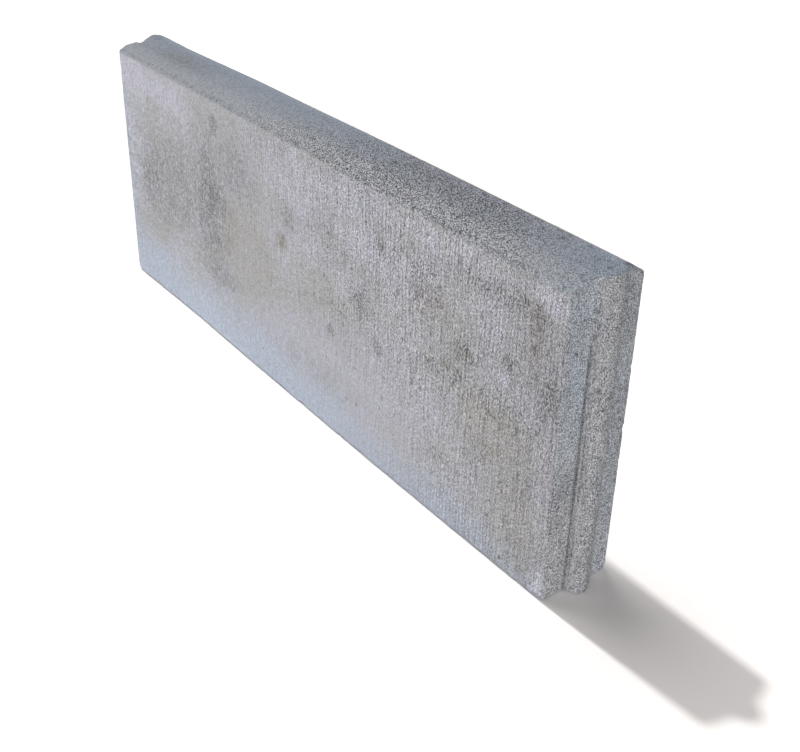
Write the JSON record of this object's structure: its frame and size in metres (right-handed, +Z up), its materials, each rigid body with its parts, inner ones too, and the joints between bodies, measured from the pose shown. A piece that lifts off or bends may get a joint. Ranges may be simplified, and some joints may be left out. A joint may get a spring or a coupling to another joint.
{
  "type": "concrete kerb stone",
  "caption": "Slim precast concrete kerb stone on its long edge, with a crowned top, an upright tongue at one end and a matching groove at the other.",
  "frame": {"origin": "middle of the footprint, on the floor that the stone stands on", "axes": "+X along the stone towards the end with the tongue, +Y across it towards the back face, +Z up"},
  "size_m": [0.508, 0.05, 0.2],
  "materials": {
    "concrete": "matte, fine-grained and slightly porous"
  },
  "bodies": {
    "root": {"kerb_stone": "concrete"}
  },
  "joints": []
}
